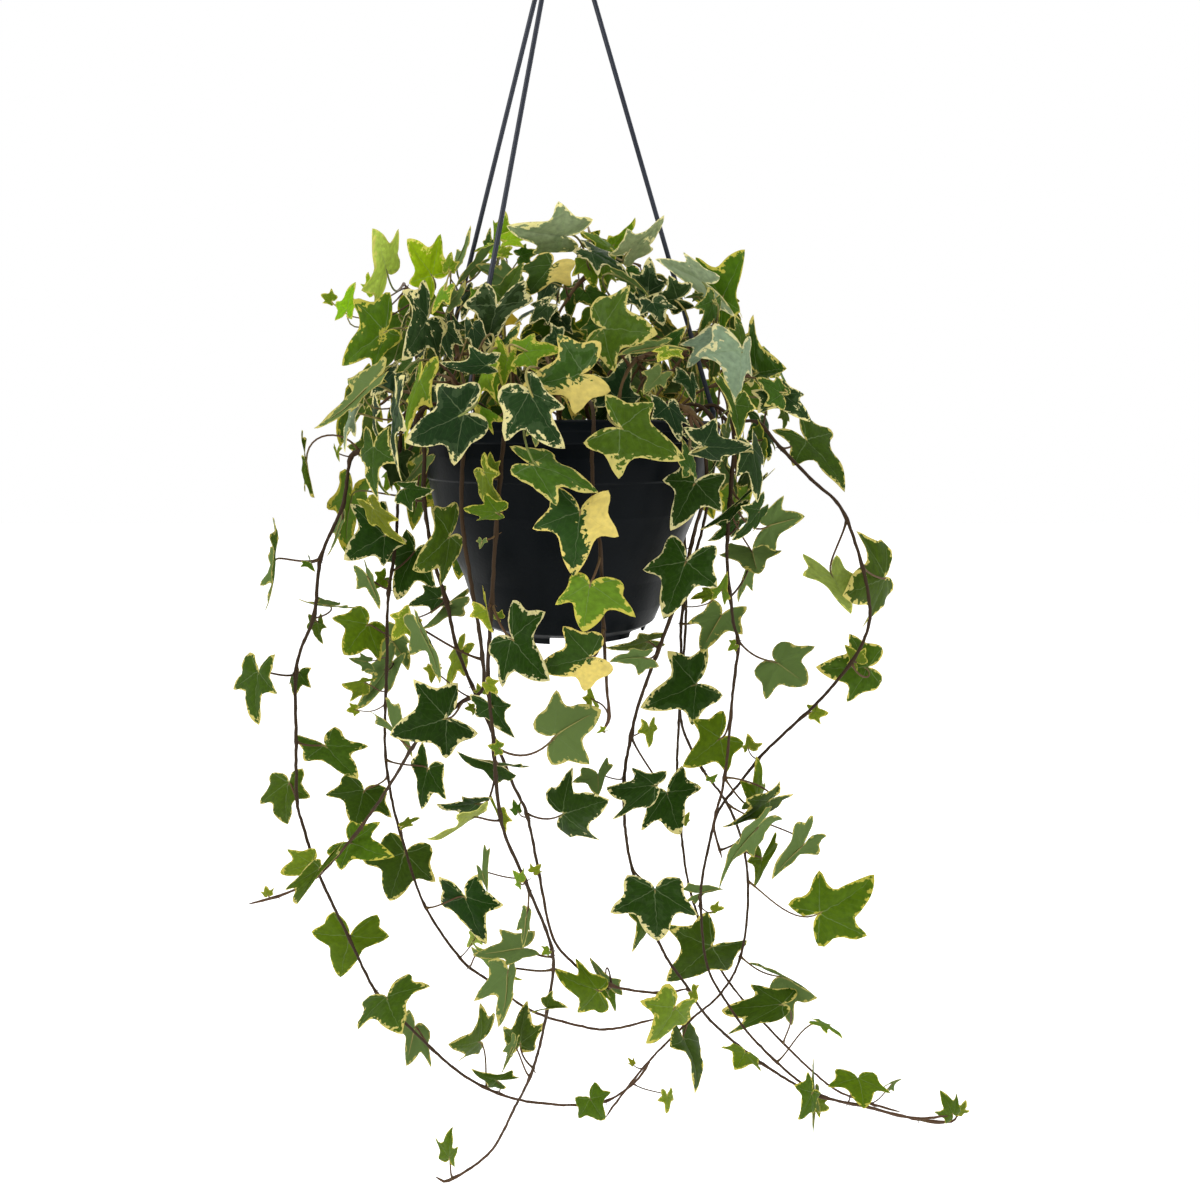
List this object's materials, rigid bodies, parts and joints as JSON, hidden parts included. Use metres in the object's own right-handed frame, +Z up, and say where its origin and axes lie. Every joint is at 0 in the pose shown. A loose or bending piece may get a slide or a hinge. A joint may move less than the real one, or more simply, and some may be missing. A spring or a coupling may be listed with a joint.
{
  "type": "potted trailing ivy in a hanging nursery pot",
  "caption": "Variegated english ivy with a domed crown and long trailing stems, rooted in a round dark plastic nursery pot that hangs from a hook on thin rigid strands.",
  "frame": {"origin": "the point inside the hook's bow that bears on the rail it hangs from", "axes": "+Z up along the pot's axis, -Y towards the viewer of the picture, +X to that viewer's right"},
  "size_m": [0.5005, 0.3033, 0.853],
  "materials": {
    "ivy_leaf": "satin, dark green with paler veins and a jagged cream to yellow margin",
    "ivy_stem": "satin, dark purple-brown stems, petioles paler to green",
    "pot_plastic": "satin moulded near-black",
    "hanger_plastic": "satin moulded dark blue-grey",
    "potting_mix": "rough fibrous dark brown with a few pale grains"
  },
  "bodies": {
    "root": {"crown_shoot_01": "ivy_leaf", "crown_shoot_02": "ivy_leaf", "crown_shoot_03": "ivy_leaf", "crown_shoot_04": "ivy_leaf", "crown_shoot_05": "ivy_leaf", "crown_shoot_06": "ivy_leaf", "crown_shoot_07": "ivy_leaf", "crown_shoot_08": "ivy_leaf", "crown_shoot_09": "ivy_leaf", "crown_shoot_10": "ivy_leaf", "crown_shoot_11": "ivy_leaf", "crown_shoot_12": "ivy_leaf", "crown_shoot_13": "ivy_leaf", "crown_shoot_14": "ivy_leaf", "crown_shoot_15": "ivy_leaf", "crown_shoot_16": "ivy_leaf", "crown_shoot_17": "ivy_leaf", "crown_shoot_18": "ivy_leaf", "crown_shoot_19": "ivy_leaf", "crown_shoot_20": "ivy_leaf", "crown_shoot_21": "ivy_leaf", "hanger": "hanger_plastic", "pot": "pot_plastic", "potting_mix": "potting_mix", "trailing_vine_01": "ivy_leaf", "trailing_vine_02": "ivy_leaf", "trailing_vine_03": "ivy_leaf", "trailing_vine_04": "ivy_leaf", "trailing_vine_05": "ivy_leaf", "trailing_vine_06": "ivy_leaf", "trailing_vine_07": "ivy_leaf", "trailing_vine_08": "ivy_leaf", "trailing_vine_09": "ivy_leaf", "trailing_vine_10": "ivy_leaf", "trailing_vine_11": "ivy_leaf", "trailing_vine_12": "ivy_leaf", "trailing_vine_13": "ivy_leaf", "trailing_vine_14": "ivy_leaf"}
  },
  "joints": []
}
